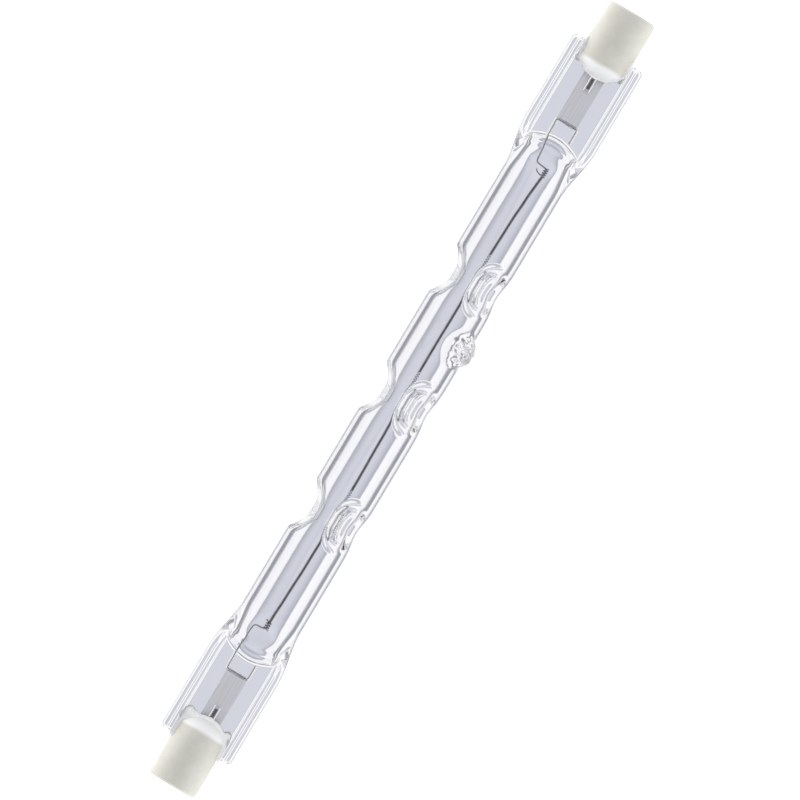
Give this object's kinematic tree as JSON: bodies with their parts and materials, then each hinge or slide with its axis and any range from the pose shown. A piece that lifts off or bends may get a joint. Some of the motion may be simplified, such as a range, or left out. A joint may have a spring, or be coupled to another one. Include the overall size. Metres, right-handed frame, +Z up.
{
  "type": "linear halogen bulb",
  "caption": "Double-ended linear halogen bulb: dimpled quartz tube, coiled filament, flat pinch seals and slotted ceramic caps with recessed contacts.",
  "frame": {"origin": "middle of the lamp's length, at the height of the table that it lies on, below the tube's axis", "axes": "+X along the tube from the end called a to the end called b, +Z up. The lamp lies at rest on its tube and on one thick edge of each seal, so its flat seals are turned about 35 degrees about X."},
  "size_m": [0.1176, 0.0111, 0.0087],
  "materials": {
    "quartz": "clear fused quartz, smooth",
    "tungsten": "dark grey tungsten coil, drawn as its outside",
    "lead_wire": "grey tungsten wire",
    "molybdenum_foil": "dull silver molybdenum foil",
    "outer_lead": "molybdenum wire",
    "ceramic": "unglazed cream-white steatite ceramic",
    "contact_metal": "nickel contact button",
    "cement": "chalky white lamp cement"
  },
  "bodies": {
    "root": {"quartz_envelope": "quartz", "filament": "tungsten", "inner_lead_a": "lead_wire", "inner_lead_b": "lead_wire", "foil_a": "molybdenum_foil", "foil_b": "molybdenum_foil", "outer_lead_a": "outer_lead", "outer_lead_b": "outer_lead", "ceramic_cap_a": "ceramic", "ceramic_cap_b": "ceramic", "contact_a": "contact_metal", "contact_b": "contact_metal", "cement_a": "cement", "cement_b": "cement"}
  },
  "joints": []
}
